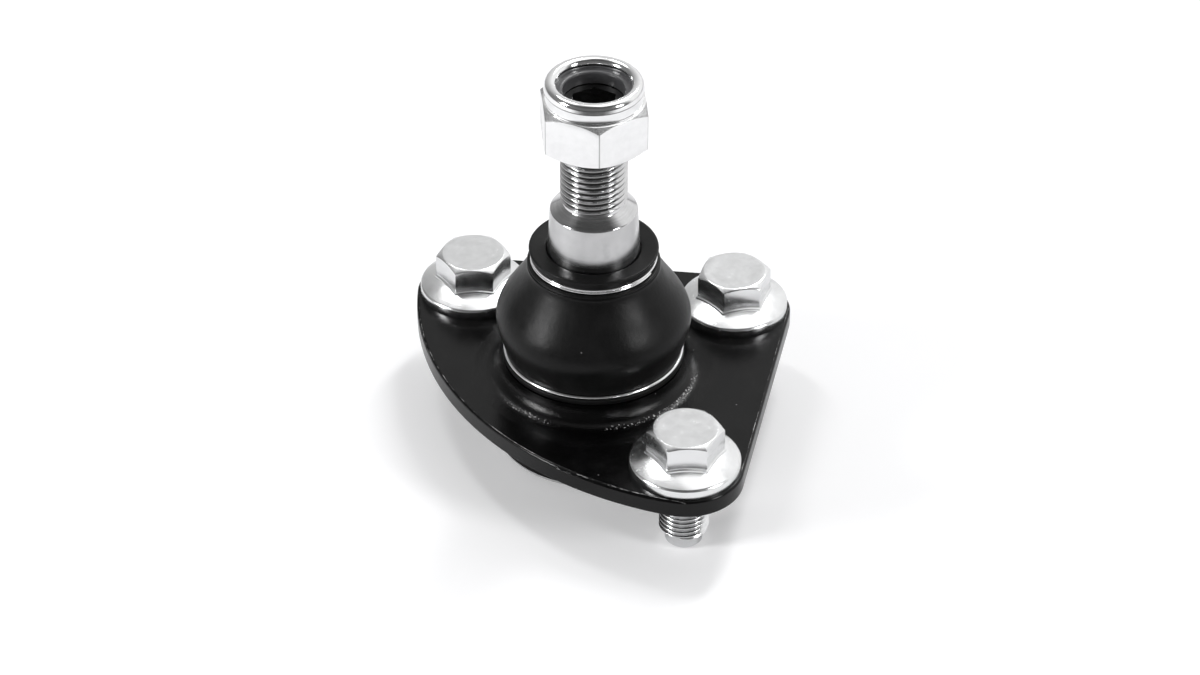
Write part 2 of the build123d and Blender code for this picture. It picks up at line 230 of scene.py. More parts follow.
# shared effects
def newGroup(name, inputs, outputs):
    tree = bpy.data.node_groups.new(name, "ShaderNodeTree")
    for label, kind, value in [("Vector", "Vector", None)] + inputs:
        socket = tree.interface.new_socket(label, in_out="INPUT", socket_type="NodeSocket" + kind)
        if value is not None:
            socket.default_value = value
    for label, kind in outputs:
        tree.interface.new_socket(label, in_out="OUTPUT", socket_type="NodeSocket" + kind)
    return tree, tree.nodes.new("NodeGroupInput").outputs, tree.nodes.new("NodeGroupOutput").inputs


def buildUnevenTone():
    # a colour that drifts lighter and darker in soft patches
    tree, given, result = newGroup(
        "unevenTone", [("Tone", "Color", (0.5, 0.5, 0.5, 1)), ("Spread", "Float", 0.1), ("Size", "Float", 200)],
        [("Color", "Color"), ("Mask", "Float")])
    patches = addNoise(tree, given["Vector"], given["Size"], 5.0, 0.62)
    low = calculate(tree, "SUBTRACT", 1.0, given["Spread"])
    high = calculate(tree, "ADD", 1.0, given["Spread"])
    gain = remap(tree, patches, (0.28, 0.72), (low, high))
    tinted = addNode(tree, "VectorMath", {0: given["Tone"], "Scale": gain}, operation="SCALE")
    tree.links.new(tinted.outputs["Vector"], result["Color"])
    tree.links.new(patches, result["Mask"])
    return tree


def buildSurfaceGrain():
    # fine and coarse unevenness of a surface, as a height
    tree, given, result = newGroup(
        "surfaceGrain", [("Fine Size", "Float", 3000), ("Coarse Size", "Float", 700), ("Coarse Share", "Float", 0.5)],
        [("Height", "Float")])
    fine = addNoise(tree, given["Vector"], given["Fine Size"], 3.0, 0.55)
    coarse = addNoise(tree, given["Vector"], given["Coarse Size"], 2.0, 0.5)
    tree.links.new(mixValue(tree, given["Coarse Share"], fine, coarse), result["Height"])
    return tree


def buildTurnedLines():
    # faint rings round the axis, as a lathe or grinding wheel leaves
    tree, given, result = newGroup(
        "turnedLines", [("Drift", "Float", 60), ("Lines", "Float", 6000)], [("Mask", "Float")])
    stretch = addNode(tree, "CombineXYZ", {"X": given["Drift"], "Y": given["Drift"], "Z": given["Lines"]})
    place = addNode(tree, "VectorMath", {0: given["Vector"], 1: stretch.outputs[0]}, operation="MULTIPLY")
    tree.links.new(addNoise(tree, place.outputs["Vector"], 1.0, 3.0, 0.7), result["Mask"])
    return tree


def buildDustSpecks():
    # sparse pale specks
    tree, given, result = newGroup(
        "dustSpecks", [("Size", "Float", 300), ("Share", "Float", 0.1), ("Radius", "Float", 0.12)],
        [("Mask", "Float")])
    cells = addNode(tree, "TexVoronoi", {"Vector": given["Vector"], "Scale": given["Size"], "Randomness": 1.0})
    spot = remap(tree, cells.outputs["Distance"], (given["Radius"], 0.0))
    pick = addNode(tree, "SeparateColor", {"Color": cells.outputs["Color"]}).outputs[0]
    chosen = calculate(tree, "LESS_THAN", pick, given["Share"])
    tree.links.new(calculate(tree, "MULTIPLY", spot, chosen), result["Mask"])
    return tree


def buildZoneMask():
    # 1 inside a ring-shaped zone about the axis, given by radius and height in metres; slope leans it to a cone
    tree, given, result = newGroup(
        "zoneMask", [("Inner", "Float", 0.0), ("Outer", "Float", 1.0), ("Low", "Float", 0.0), ("High", "Float", 1.0),
                     ("Slope", "Float", 0.0)],
        [("Mask", "Float")])
    parts = addNode(tree, "SeparateXYZ", {"Vector": given["Vector"]}).outputs
    flat = addNode(tree, "CombineXYZ", {"X": parts["X"], "Y": parts["Y"]}).outputs[0]
    radius = addNode(tree, "VectorMath", {0: flat}, operation="LENGTH").outputs["Value"]
    height = calculate(tree, "MULTIPLY_ADD", radius, given["Slope"], parts["Z"])
    across = calculate(tree, "MULTIPLY", calculate(tree, "GREATER_THAN", radius, given["Inner"]),
                       calculate(tree, "LESS_THAN", radius, given["Outer"]))
    upwards = calculate(tree, "MULTIPLY", calculate(tree, "GREATER_THAN", height, given["Low"]),
                        calculate(tree, "LESS_THAN", height, given["High"]))
    tree.links.new(calculate(tree, "MULTIPLY", across, upwards), result["Mask"])
    return tree


unevenTone = buildUnevenTone()
surfaceGrain = buildSurfaceGrain()
turnedLines = buildTurnedLines()
dustSpecks = buildDustSpecks()
zoneMask = buildZoneMask()


def useGroup(tree, group, place, inputs):
    node = tree.nodes.new("ShaderNodeGroup")
    node.node_tree = group
    return fillNode(tree, node, {"Vector": place, **inputs}).outputs


def newMaterial(name, values):
    material = bpy.data.materials.new(name)
    material.use_nodes = True
    tree = material.node_tree
    shader = fillNode(tree, tree.nodes["Principled BSDF"], values)
    return material, tree, shader, addNode(tree, "TexCoord").outputs["Object"]


def addBump(tree, shader, height, strength, distance):
    bump = addNode(tree, "Bump", {"Height": height, "Strength": strength, "Distance": distance})
    tree.links.new(bump.outputs["Normal"], shader.inputs["Normal"])


def spread(tree, value, result):
    # spreads a noise, which keeps near its middle, over a range
    return remap(tree, value, (0.3, 0.7), result)


# paint, with zones in metres: the grained boss, painted highlights as pale broken sparkles at its foot and along two
# edges, and a lighter grey band at the crimped edge
paintValues = {
    "tone": (0.0018, 0.0018, 0.0019, 1), "drift": {"Spread": 0.35, "Size": 160.0}, "shine": (0.13, 0.24),
    "gloss": {"Specular IOR Level": 0.24}, "specks": {"Size": 420.0, "Share": 0.05, "Radius": 0.1},
    "grain": {"Fine Size": 2300.0, "Coarse Size": 900.0, "Coarse Share": 0.45},
    "castGrain": {"Fine Size": 3400.0, "Coarse Size": 1500.0, "Coarse Share": 0.5}, "grainDepths": (0.35, 1.0),
    "bump": (0.5, 0.00022),
    "cast": {"Inner": 0.0192, "Outer": 0.0290, "Low": 0.0044, "High": 0.02},
    # the foot, arcs, curve and side zones place the painted highlights
    "foot": {"Inner": 0.0241, "Outer": 0.0253, "Low": 0.0044, "High": 0.0054},
    "arcs": (((-0.961, -0.276, 0), 0.0240), ((0.139, -0.990, 0), 0.0197)), "arcFade": 0.0006,
    "curveMiddle": (0.051827, 0, 0), "curve": {"Inner": 0.08524, "Outer": 0.08540, "Low": 0.0040, "High": 0.0047},
    "sideWay": (0.6756, -0.7373, 0), "sideReach": 0.04222, "sideWidth": 0.00007,
    "crimp": {"Inner": 0.0222, "Outer": 0.0240, "Low": -0.0146, "High": -0.0132},
    "sparkleSize": 1900.0, "sparkleSpan": (0.56, 0.68), "edgeSparkleSize": 130.0, "edgeSparkleSpan": (0.5, 0.66),
    "dust": (0.22, 0.22, 0.22, 1), "glintTone": (0.5, 0.5, 0.5, 1), "crimpGrey": (0.42, 0.42, 0.42, 1),
}


def maskFootGlints(tree, place, values):
    # painted highlight: pale broken sparkles in two arcs at the boss's foot
    foot = useGroup(tree, zoneMask, place, values["foot"])["Mask"]
    sparkles = remap(tree, addNoise(tree, place, values["sparkleSize"], 1.0), values["sparkleSpan"])
    fade = values["arcFade"]
    first, second = [remap(tree, measureAlong(tree, place, way), (reach - fade, reach + fade))
                     for way, reach in values["arcs"]]
    ring = calculate(tree, "MULTIPLY", foot, sparkles)
    return calculate(tree, "MULTIPLY", ring, calculate(tree, "MAXIMUM", first, second))


def maskEdgeGlints(tree, place, values):
    # painted highlight: a thin broken pale line along the curved side's edge and one straight side's edge
    fromMiddle = addNode(tree, "VectorMath", {0: place, 1: values["curveMiddle"]}, operation="SUBTRACT")
    curved = useGroup(tree, zoneMask, fromMiddle.outputs["Vector"], values["curve"])["Mask"]
    across = measureAlong(tree, place, values["sideWay"])
    straight = calculate(tree, "COMPARE", across, values["sideReach"], values["sideWidth"])
    edgeSparkles = remap(tree, addNoise(tree, place, values["edgeSparkleSize"], 8.0, 0.75), values["edgeSparkleSpan"])
    return calculate(tree, "MULTIPLY", calculate(tree, "MAXIMUM", curved, straight), edgeSparkles)


def makePaint(name, values):
    material, tree, shader, place = newMaterial(name, values["gloss"])
    tone = useGroup(tree, unevenTone, place, {"Tone": values["tone"], **values["drift"]})
    specks = useGroup(tree, dustSpecks, place, values["specks"])["Mask"]
    paintedGlints = calculate(tree, "MAXIMUM", maskFootGlints(tree, place, values), maskEdgeGlints(tree, place, values))
    pale = calculate(tree, "MAXIMUM", paintedGlints, specks)
    # painted highlights take the paler grey, dust specks the darker one
    color = mixColor(tree, pale, tone["Color"], mixColor(tree, paintedGlints, values["dust"], values["glintTone"]))
    # a lighter grey band round the crimped lower edge
    crimp = useGroup(tree, zoneMask, place, values["crimp"])["Mask"]
    tree.links.new(mixColor(tree, crimp, color, values["crimpGrey"]), shader.inputs["Base Color"])
    tree.links.new(spread(tree, tone["Mask"], values["shine"]), shader.inputs["Roughness"])
    plain = useGroup(tree, surfaceGrain, place, values["grain"])["Height"]
    rough = useGroup(tree, surfaceGrain, place, values["castGrain"])["Height"]
    cast = useGroup(tree, zoneMask, place, values["cast"])["Mask"]
    deep = mixValue(tree, cast, *values["grainDepths"])
    addBump(tree, shader, calculate(tree, "MULTIPLY", mixValue(tree, cast, plain, rough), deep), *values["bump"])
    return material


rubberValues = {
    "tone": (0.006, 0.006, 0.0061, 1), "drift": {"Spread": 0.3, "Size": 120.0}, "shine": (0.28, 0.46),
    "gloss": {"Specular IOR Level": 0.16}, "specks": {"Size": 330.0, "Share": 0.1, "Radius": 0.09},
    "dust": (0.22, 0.22, 0.22, 1), "grain": {"Fine Size": 4200.0, "Coarse Size": 900.0, "Coarse Share": 0.6},
    "bump": (0.5, 0.00011),
}


def makeRubber(name, values):
    material, tree, shader, place = newMaterial(name, values["gloss"])
    tone = useGroup(tree, unevenTone, place, {"Tone": values["tone"], **values["drift"]})
    specks = useGroup(tree, dustSpecks, place, values["specks"])["Mask"]
    tree.links.new(mixColor(tree, specks, tone["Color"], values["dust"]), shader.inputs["Base Color"])
    tree.links.new(spread(tree, tone["Mask"], values["shine"]), shader.inputs["Roughness"])
    addBump(tree, shader, useGroup(tree, surfaceGrain, place, values["grain"])["Height"], *values["bump"])
    return material


def shadeZones(tree, place, color, zones):
    # paints each zone of the list in its grey: painted shade
    for limits, grey in zones:
        color = mixColor(tree, useGroup(tree, zoneMask, place, limits)["Mask"], color, (grey, grey, grey, 1))
    return color


# zinc plate; facets is where a hexagon's corners are cut, lines are painted shade: a dark line in the crease under
# the lip and grey lines down the hexagon's corners
zincSurface = {
    "drift": {"Spread": 0.05, "Size": 420.0}, "facetDrift": {"Spread": 0.7, "Size": 3800.0},
    "grain": {"Fine Size": 2600.0, "Coarse Size": 420.0, "Coarse Share": 0.6}, "bump": (0.1, 0.00005),
}
zincValues = {
    "boltZinc": {"tone": (0.84, 0.845, 0.85, 1), "shine": (0.18, 0.28)},
    "nutZinc": {
        "tone": (0.92, 0.922, 0.925, 1), "shine": (0.08, 0.14),
        "facets": {"Inner": 0.0121, "Outer": 0.0145, "Low": 0.08886, "Slope": 0.5774},
        "facetTone": (0.42, 0.42, 0.425, 1), "facetShine": 0.5,
        # painted shade: the crease under the lip, then the hexagon's corners
        "lines": [({"Inner": 0.0112, "Outer": 0.0125, "Low": 0.0847, "High": 0.0851}, 0.14),
                  ({"Inner": 0.01377, "Low": 0.0706, "High": 0.0812}, 0.48)],
    },
    "springWire": {"tone": (0.9, 0.9, 0.905, 1), "shine": (0.1, 0.2)},
}


def makeZinc(name, values):
    surface = zincSurface
    material, tree, shader, place = newMaterial(name, {"Metallic": 1.0})
    tone = useGroup(tree, unevenTone, place, {"Tone": values["tone"], **surface["drift"]})
    shine = spread(tree, tone["Mask"], values["shine"])
    color = tone["Color"]
    if "facets" in values:
        zone = useGroup(tree, zoneMask, place, values["facets"])["Mask"]
        speckle = useGroup(tree, unevenTone, place, {"Tone": values["facetTone"], **surface["facetDrift"]})
        color = mixColor(tree, zone, color, speckle["Color"])
        shine = mixValue(tree, zone, shine, values["facetShine"])
    color = shadeZones(tree, place, color, values.get("lines", []))
    tree.links.new(color, shader.inputs["Base Color"])
    tree.links.new(shine, shader.inputs["Roughness"])
    addBump(tree, shader, useGroup(tree, surfaceGrain, place, surface["grain"])["Height"], *surface["bump"])
    return material


# turned steel spreads its highlights along the axis; the thread is painted darker at its end, deep in the nut, and in
# its groove, as painted shade
steelSurface = {
    "drift": {"Spread": 0.08, "Size": 260.0}, "lineDrift": 90.0, "lineTones": (0.9, 1.06), "bump": (0.22, 0.00003),
    "turn": 0.25,
}
steelValues = {
    "studSteel": {
        "tone": (0.58, 0.58, 0.585, 1), "shine": (0.14, 0.24), "lines": 5200.0, "stretch": 0.8, "zones": [],
    },
    "threadSteel": {
        "tone": (0.7, 0.7, 0.705, 1), "shine": (0.1, 0.17), "lines": 2600.0, "stretch": 0.0,
        # painted shade: the recessed end with its socket, then the thread's groove
        "zones": [({"Inner": 0.0, "Outer": 0.0076, "Low": 0.0720, "High": 0.0816}, 0.26),
                  ({"Inner": 0.0065, "Outer": 0.0075, "Low": 0.0542, "High": 0.0719}, 0.3)],
    },
}


def makeSteel(name, values):
    surface = steelSurface
    material, tree, shader, place = newMaterial(name, {
        "Metallic": 1.0, "Anisotropic": values["stretch"], "Anisotropic Rotation": surface["turn"]})
    rings = useGroup(tree, turnedLines, place, {"Drift": surface["lineDrift"], "Lines": values["lines"]})["Mask"]
    tone = useGroup(tree, unevenTone, place, {"Tone": values["tone"], **surface["drift"]})["Color"]
    faint = spread(tree, rings, surface["lineTones"])
    color = addNode(tree, "VectorMath", {0: tone, "Scale": faint}, operation="SCALE").outputs["Vector"]
    color = shadeZones(tree, place, color, values["zones"])
    tree.links.new(color, shader.inputs["Base Color"])
    tree.links.new(spread(tree, rings, values["shine"]), shader.inputs["Roughness"])
    addBump(tree, shader, rings, *surface["bump"])
    return material


plasticSurface = {
    "drift": {"Spread": 0.14, "Size": 350.0}, "gloss": {"Specular IOR Level": 0.5}, "bump": (0.2, 0.00005),
    "grain": {"Fine Size": 3600.0, "Coarse Size": 900.0, "Coarse Share": 0.4},
}
plasticValues = {
    "nylonGrey": {"tone": (0.055, 0.055, 0.058, 1), "shine": (0.28, 0.42)},
    "seatPlastic": {"tone": (0.72, 0.70, 0.64, 1), "shine": (0.35, 0.5)},
    "ringPlastic": {"tone": (0.035, 0.035, 0.037, 1), "shine": (0.4, 0.55)},
}


def makePlastic(name, values):
    surface = plasticSurface
    material, tree, shader, place = newMaterial(name, surface["gloss"])
    tone = useGroup(tree, unevenTone, place, {"Tone": values["tone"], **surface["drift"]})
    tree.links.new(tone["Color"], shader.inputs["Base Color"])
    tree.links.new(spread(tree, tone["Mask"], values["shine"]), shader.inputs["Roughness"])
    addBump(tree, shader, useGroup(tree, surfaceGrain, place, surface["grain"])["Height"], *surface["bump"])
    return material


# every finish by its name
finishes = {"blackPaint": makePaint("blackPaint", paintValues), "bootRubber": makeRubber("bootRubber", rubberValues)}
for make, family in ((makeZinc, zincValues), (makeSteel, steelValues), (makePlastic, plasticValues)):
    for finishName, finishValues in family.items():
        finishes[finishName] = make(finishName, finishValues)
print("materials ready")


# shape helpers
def turnedShell(points, steps=96, closed=False, rounds=None):
    # spins an outline of (radius, height) in mm; rounds gives a corner's width by its place in the outline
    bm = bmesh.new()
    corners = [bm.verts.new((radius * mm, 0, height * mm)) for radius, height in points]
    for first, second in zip(corners, corners[1:]):
        bm.edges.new((first, second))
    if closed:
        bm.edges.new((corners[-1], corners[0]))
    for width in sorted(set((rounds or {}).values())):
        chosen = [corners[place] for place, value in rounds.items() if value == width]
        bmesh.ops.bevel(bm, geom=chosen, offset=width * mm, offset_type="OFFSET", segments=2,
                        profile=0.5, affect="VERTICES", material=-1)
    bmesh.ops.spin(bm, geom=bm.verts[:] + bm.edges[:], cent=(0, 0, 0), axis=(0, 0, 1), dvec=(0, 0, 0),
                   angle=fullTurn, steps=steps, use_merge=True)
    bmesh.ops.remove_doubles(bm, verts=bm.verts, dist=1e-6)
    bmesh.ops.recalc_face_normals(bm, faces=bm.faces)
    return bm


def trimPlane(bm, point, way, dist=1e-7):
    # takes off what lies beyond a plane and closes the cut
    cut = bmesh.ops.bisect_plane(bm, geom=bm.verts[:] + bm.edges[:] + bm.faces[:], dist=dist,
                                 plane_co=point, plane_no=way, clear_outer=True)
    rim = [item for item in cut["geom_cut"] if isinstance(item, bmesh.types.BMEdge)]
    bmesh.ops.holes_fill(bm, edges=rim, sides=0)


def cutHexagon(bm, flats, turn):
    # trims a turned shell to six flats; turn is the bearing of a corner
    for side in range(6):
        bearing = math.radians(turn + 30 + 60 * side)
        way = Vector((math.cos(bearing), math.sin(bearing), 0))
        trimPlane(bm, way * flats / 2 * mm, way)
    bmesh.ops.recalc_face_normals(bm, faces=bm.faces)


def softenEdges(bm, width, limit=24):
    # rounds each edge that turns by more than the limit, in degrees
    sharp = [edge for edge in bm.edges
             if len(edge.link_faces) == 2 and edge.calc_face_angle(0) > math.radians(limit)]
    bmesh.ops.bevel(bm, geom=sharp, offset=width * mm, offset_type="OFFSET", segments=2, profile=0.5,
                    affect="EDGES", clamp_overlap=True, material=-1)


# a metric thread's groove and its outline over one pitch, in pitches; 1 is the crest and 0 the root
threadForm = {"depth": 0.6134, "outline": [(0, 0), (0, 0.125), (1, 0.4375), (1, 0.5625), (0, 0.875), (0, 1)],
              "round": 0.05, "lead": 1.6}


def threadShell(radius, pitch, low, high, lowCone, highCone, steps=72):
    # one turn is spun, laid turn on turn and cut square at both ends; the cones are the radii left at the ends
    root = radius - threadForm["depth"] * pitch
    turn = bmesh.new()
    start = low - threadForm["lead"] * pitch
    corners = [turn.verts.new(((radius if crest else root) * mm, 0, (start + part * pitch) * mm))
               for crest, part in threadForm["outline"]]
    for first, second in zip(corners, corners[1:]):
        turn.edges.new((first, second))
    bmesh.ops.bevel(turn, geom=corners[1:5], offset=threadForm["round"] * pitch * mm, offset_type="OFFSET",
                    segments=2, profile=0.5, affect="VERTICES", material=-1)
    bmesh.ops.spin(turn, geom=turn.verts[:] + turn.edges[:], cent=(0, 0, 0), axis=(0, 0, 1),
                   dvec=(0, 0, pitch * mm / steps), angle=fullTurn, steps=steps)
    turnMesh = bpy.data.meshes.new("turn")
    turn.to_mesh(turnMesh)
    turn.free()
    bm = bmesh.new()
    for layer in range(math.ceil((high - low) / pitch) + 3):
        bmesh.ops.translate(bm, verts=bm.verts, vec=(0, 0, pitch * mm))
        bm.from_mesh(turnMesh)
    bpy.data.meshes.remove(turnMesh)
    bmesh.ops.remove_doubles(bm, verts=bm.verts, dist=2e-6)
    for height, side in ((low, -1), (high, 1)):
        trimPlane(bm, (0, 0, height * mm), (0, 0, side), dist=1e-8)
    for vert in bm.verts:
        across = math.hypot(vert.co.x, vert.co.y)
        limit = min(lowCone + (vert.co.z / mm - low), highCone + (high - vert.co.z / mm)) * mm
        if across > limit:
            vert.co.x *= limit / across
            vert.co.y *= limit / across
    bmesh.ops.recalc_face_normals(bm, faces=bm.faces)
    return bm


def applyModifier(piece):
    # writes the result of the piece's modifiers into its mesh
    bpy.context.view_layer.update()
    done = bpy.data.meshes.new_from_object(piece.evaluated_get(bpy.context.evaluated_depsgraph_get()))
    piece.modifiers.clear()
    piece.data = done


def makePiece(name, shells, material, body, nodes=(), place=(0, 0, 0), limit=34):
    # joins finished shells into one object and hands it to the frame; edges sharper than the limit stay sharp
    whole = bmesh.new()
    for shell in shells:
        part = bpy.data.meshes.new("part")
        shell.to_mesh(part)
        shell.free()
        whole.from_mesh(part)
        bpy.data.meshes.remove(part)
    for face in whole.faces:
        face.smooth = True
    for edge in whole.edges:
        edge.smooth = edge.calc_face_angle(0) < math.radians(limit)
    bmesh.ops.translate(whole, verts=whole.verts, vec=Vector(place) * mm)
    mesh = bpy.data.meshes.new(name)
    whole.to_mesh(mesh)
    whole.free()
    mesh.materials.append(material)
    piece = bpy.data.objects.new(name, mesh)
    bpy.context.scene.collection.objects.link(piece)
    if body:
        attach(piece, body)
    if nodes:
        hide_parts(*nodes)
    return piece


# flange bolts
boltValues = {
    "plateTop": 4.5, "flats": 16.0, "headHeight": 11.1, "topRadius": 7.6, "flangeRadius": 13.2, "flangeEdge": 2.5,
    "slope": 24.0, "footLift": 0.4, "footFlats": 16.8, "threadRadius": 6.0, "pitch": 1.25, "tip": -21.9,
    "coreRadius": 5.1, "pointLength": 3.0, "pointRadius": 4.5, "blankRadius": 10, "blankFoot": 2.6, "rimWidth": 1.2,
    "rimDip": 0.05, "middleDip": 0.12, "edge": 0.16, "footBlank": 11, "footLow": 2.4, "footEdge": 0.14,
    "flangeLean": 0.35, "flangeDrop": 0.25, "neckRadius": 6.2, "neckLow": -0.6, "threadHigh": -0.4,
    "pointChamfer": 0.8, "rounds": {1: 0.12, 2: 0.12, 3: 0.18, 8: 0.2, 9: 0.2},
}
# x and y in mm, and the bearing of a corner in degrees
boltPlaces = {
    "bolt_corner": (42.7, 0.0, 36.1),
    "bolt_left": (-5.1, 43.8, 26.6),
    "bolt_front": (-5.1, -43.8, 26.1),
}


def buildBolt(node, place, values):
    x, y, turn = place
    v = values
    rise = math.tan(math.radians(v["slope"]))
    apex = v["flangeEdge"] + v["flangeRadius"] * rise
    blank, top, rim = v["blankRadius"], v["headHeight"], v["topRadius"]
    drop = (blank - rim) * math.tan(math.radians(30))
    head = turnedShell([(0, v["blankFoot"]), (blank, v["blankFoot"]), (blank, top - drop), (rim, top),
                        (rim - v["rimWidth"], top - v["rimDip"]), (0, top - v["middleDip"])])
    cutHexagon(head, v["flats"], turn)
    softenEdges(head, v["edge"])
    blank, lift = v["footBlank"], v["footLift"]
    foot = turnedShell([(0, v["footLow"]), (blank, v["footLow"]),
                        (blank, v["flangeEdge"] + (v["flangeRadius"] - blank) * rise + lift), (0, apex + lift)])
    cutHexagon(foot, v["footFlats"], turn)
    softenEdges(foot, v["footEdge"])
    tip, point, lean = v["tip"], v["tip"] + v["pointLength"], v["flangeLean"]
    flange = turnedShell([(0, apex), (v["flangeRadius"] - lean, v["flangeEdge"] + lean * rise),
                          (v["flangeRadius"], v["flangeEdge"] - v["flangeDrop"]), (v["flangeRadius"], 0.0),
                          (v["neckRadius"], 0.0), (v["coreRadius"], v["neckLow"]), (v["coreRadius"], point + 0.6),
                          (v["pointRadius"], point), (v["pointRadius"], tip + v["pointChamfer"]),
                          (v["pointRadius"] - v["pointChamfer"], tip), (0, tip)], rounds=v["rounds"])
    thread = threadShell(v["threadRadius"], v["pitch"], point, v["threadHigh"], v["pointRadius"] + 0.1,
                         v["threadRadius"] - 0.3)
    makePiece(node + "_piece", [head, foot, flange, thread], finishes["boltZinc"], "housing", [node],
              (x, y, v["plateTop"]))


for boltName, boltPlace in boltPlaces.items():
    buildBolt(boltName, boltPlace, boltValues)
print("bolts ready")


# self-locking nut
nutValues = {
    "foot": 70.6, "flats": 24.0, "turn": 59.4, "height": 11.5, "chamferRadius": 11.8, "stepRadius": 11.66,
    "stepHeight": 0.42, "collarRadius": 11.52, "lipMiddle": 10.2, "lipHeight": 15.1, "lipRadius": 1.46,
    "lipStart": 10, "lipSteps": 12, "lipFoot": 14.35, "lipLean": 8, "lipRows": (0, 0.16, 0.3, 0.6, 0.85),
    "bore": 8.05, "threadHeight": 11.1, "pocket": 10.05, "insertTop": 14.2, "blankRadius": 15,
    "insert": [(7.2, 11.1), (10.0, 11.1), (10.0, 14.2), (7.9, 14.2), (7.35, 14.0), (7.2, 13.7)],
}


def buildNut(values):
    v = values
    blank = v["blankRadius"]
    drop = (blank - v["chamferRadius"]) * math.tan(math.radians(30))
    roll = []
    for step in range(v["lipSteps"] + 1):
        angle = math.radians(v["lipStart"] + step * (180 - v["lipStart"]) / v["lipSteps"])
        roll.append((v["lipMiddle"] + v["lipRadius"] * math.cos(angle),
                     v["lipHeight"] + v["lipRadius"] * math.sin(angle)))
    # rows between the foot and the rounding keep the wall's shading straight
    slope = math.tan(math.radians(v["lipLean"]))
    rows = [v["lipFoot"] + row for row in v["lipRows"]]
    wall = [(roll[0][0] + (roll[0][1] - row) * slope, row) for row in rows]
    stepTop = v["height"] + v["stepHeight"]
    outline = [(v["bore"] + 0.9, 0), (v["chamferRadius"], 0), (blank, drop), (blank, v["height"] - drop),
               (v["chamferRadius"], v["height"]), (v["stepRadius"], v["height"]), (v["stepRadius"], stepTop),
               (v["collarRadius"], stepTop), (v["collarRadius"], v["lipFoot"] - 0.05)]
    outline += wall + roll
    outline += [(v["lipMiddle"] - v["lipRadius"], v["insertTop"]), (v["pocket"], v["insertTop"]),
                (v["pocket"], v["threadHeight"]), (v["bore"], v["threadHeight"]), (v["bore"], 0.9)]
    nut = turnedShell(outline, steps=144, closed=True)
    cutHexagon(nut, v["flats"], v["turn"])
    softenEdges(nut, 0.12)
    makePiece("lock_nut_piece", [nut], finishes["nutZinc"], "stud", ["lock_nut"], (0, 0, v["foot"]))
    insert = turnedShell(v["insert"], steps=128, closed=True, rounds={3: 0.15, 4: 0.15, 5: 0.15})
    makePiece("nylon_insert_piece", [insert], finishes["nylonGrey"], "stud", ["nylon_insert"],
              (0, 0, v["foot"]))


buildNut(nutValues)
print("nut ready")


# ball stud
studValues = {
    "ballRadius": 15.0, "ballHeight": 3.5, "ballFlat": 5.0, "threadRadius": 8.0, "pitch": 1.5, "threadFoot": 54.1,
    "end": 81.5, "footCone": 7.3, "endCone": 7.1, "socketFlats": 10.0, "socketDepth": 8.0, "socketTurn": 24.1,
    "body": [(0, 12), (8, 12), (8, 25.5), (8.6, 28.4), (9.9, 31.2), (11.22, 33.0), (11.22, 37.5), (10.438, 51.27),
             (0, 51.27)],
    "shoulder": [(0, 50), (10.42, 50), (10.425, 51.5), (7.4, 53.44), (7.3, 54.3), (7.0, 55), (0, 58)],
}


def cutSocket(piece, values):
    # takes the hexagon socket out of the thread's end
    bm = bmesh.new()
    corner = values["socketFlats"] / 2 / math.cos(math.radians(30)) * mm
    depth = values["socketDepth"] * mm
    bmesh.ops.create_cone(bm, cap_ends=True, segments=6, radius1=corner, radius2=corner, depth=2 * depth)
    turn = Matrix.Rotation(math.radians(values["socketTurn"]), 3, "Z")
    bmesh.ops.rotate(bm, verts=bm.verts, cent=(0, 0, 0), matrix=turn)
    bmesh.ops.translate(bm, verts=bm.verts, vec=(0, 0, values["end"] * mm))
    mesh = bpy.data.meshes.new("socketTool")
    bm.to_mesh(mesh)
    bm.free()
    tool = bpy.data.objects.new("socketTool", mesh)
    bpy.context.scene.collection.objects.link(tool)
    modifier = piece.modifiers.new("socket", "BOOLEAN")
    modifier.operation = "DIFFERENCE"
    modifier.object = tool
    modifier.solver = "EXACT"
    applyModifier(piece)
    bpy.data.objects.remove(tool)


def buildStud(values):
    v = values
    ball = bmesh.new()
    bmesh.ops.create_uvsphere(ball, u_segments=96, v_segments=64, radius=v["ballRadius"] * mm)
    flat = math.sqrt(v["ballRadius"] ** 2 - v["ballFlat"] ** 2)
    trimPlane(ball, (0, 0, -flat * mm), (0, 0, -1))
    bmesh.ops.translate(ball, verts=ball.verts, vec=(0, 0, v["ballHeight"] * mm))
    body = turnedShell(v["body"], steps=128, rounds={5: 0.3, 6: 0.6})
    makePiece("stud_body_piece", [ball, body], finishes["studSteel"], "stud")
    shoulder = turnedShell(v["shoulder"], steps=128, rounds={2: 0.22, 3: 0.1})
    makePiece("stud_shoulder_piece", [shoulder], finishes["threadSteel"], "stud")
    thread = threadShell(v["threadRadius"], v["pitch"], v["threadFoot"], v["end"], v["footCone"], v["endCone"],
                         steps=96)
    piece = makePiece("stud_thread_piece", [thread], finishes["threadSteel"], None)
    cutSocket(piece, v)
    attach(piece, "stud")
    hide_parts("ball_stud")


buildStud(studValues)
print("stud ready")


# wire rings
ringValues = {
    "lowerRadius": 21.3, "lowerHeight": 11.3, "lowerWire": 0.5, "upperRadius": 14.85, "upperFoot": 37.132,
    "upperWire": 0.33, "upperPitch": 0.71, "upperTurns": 1.6, "upperStart": -62.0,
}


